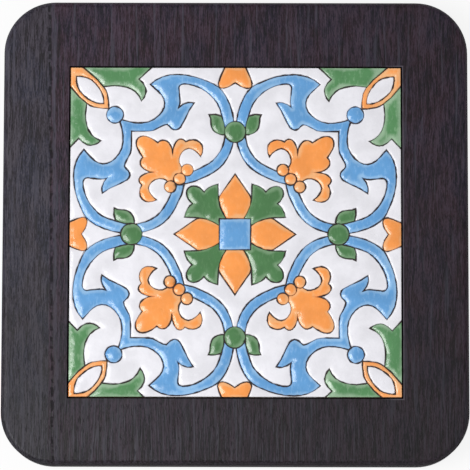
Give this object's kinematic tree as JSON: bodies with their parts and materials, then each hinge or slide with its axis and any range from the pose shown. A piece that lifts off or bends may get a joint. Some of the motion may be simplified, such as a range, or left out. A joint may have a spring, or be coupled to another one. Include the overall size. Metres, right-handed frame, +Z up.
{
  "type": "trivet",
  "caption": "Square tile trivet: a raised-line glazed tile with a blue, orange and green ornament, let into a dark wooden board with rounded corners on low rubber feet.",
  "frame": {"origin": "centre of the surface that the feet rest on, under the middle of the board", "axes": "+Z up out of the tile's face, +X to the right and +Y to the far side for someone at the near side, the one whose left end carries the near end of the narrow stave"},
  "size_m": [0.197, 0.197, 0.022],
  "materials": {
    "wide_stave_wood": "dark stained and oiled, satin",
    "narrow_stave_wood": "dark stained and oiled, satin",
    "adhesive": "cured, dull",
    "fired_clay": "unglazed, matt",
    "dark_slip": "fired dark, matt",
    "white_glaze": "glossy",
    "blue_glaze": "glossy",
    "orange_glaze": "glossy",
    "apricot_glaze": "glossy",
    "green_glaze": "glossy",
    "leaf_glaze": "glossy",
    "foot_rubber": "matt"
  },
  "bodies": {
    "root": {"wide_stave": "wide_stave_wood", "narrow_stave": "narrow_stave_wood", "tile_adhesive": "adhesive", "tile_clay": "fired_clay", "outline_slip": "dark_slip", "centre_square": "blue_glaze", "star_petals": "orange_glaze", "trefoil_leaves": "green_glaze", "centre_ground": "white_glaze", "ring_arcs": "blue_glaze", "ring_scrolls": "blue_glaze", "corner_dots": "blue_glaze", "fleurs": "orange_glaze", "pearls": "orange_glaze", "heart_grounds": "white_glaze", "buds": "green_glaze", "bud_leaves": "green_glaze", "edge_flowers": "orange_glaze", "edge_wedges": "white_glaze", "side_grounds": "white_glaze", "corner_leaves": "leaf_glaze", "corner_mandorlas": "apricot_glaze", "mandorla_eyes": "white_glaze", "near_left_foot": "foot_rubber", "near_right_foot": "foot_rubber", "far_left_foot": "foot_rubber", "far_right_foot": "foot_rubber", "foot_films": "adhesive"}
  },
  "joints": []
}
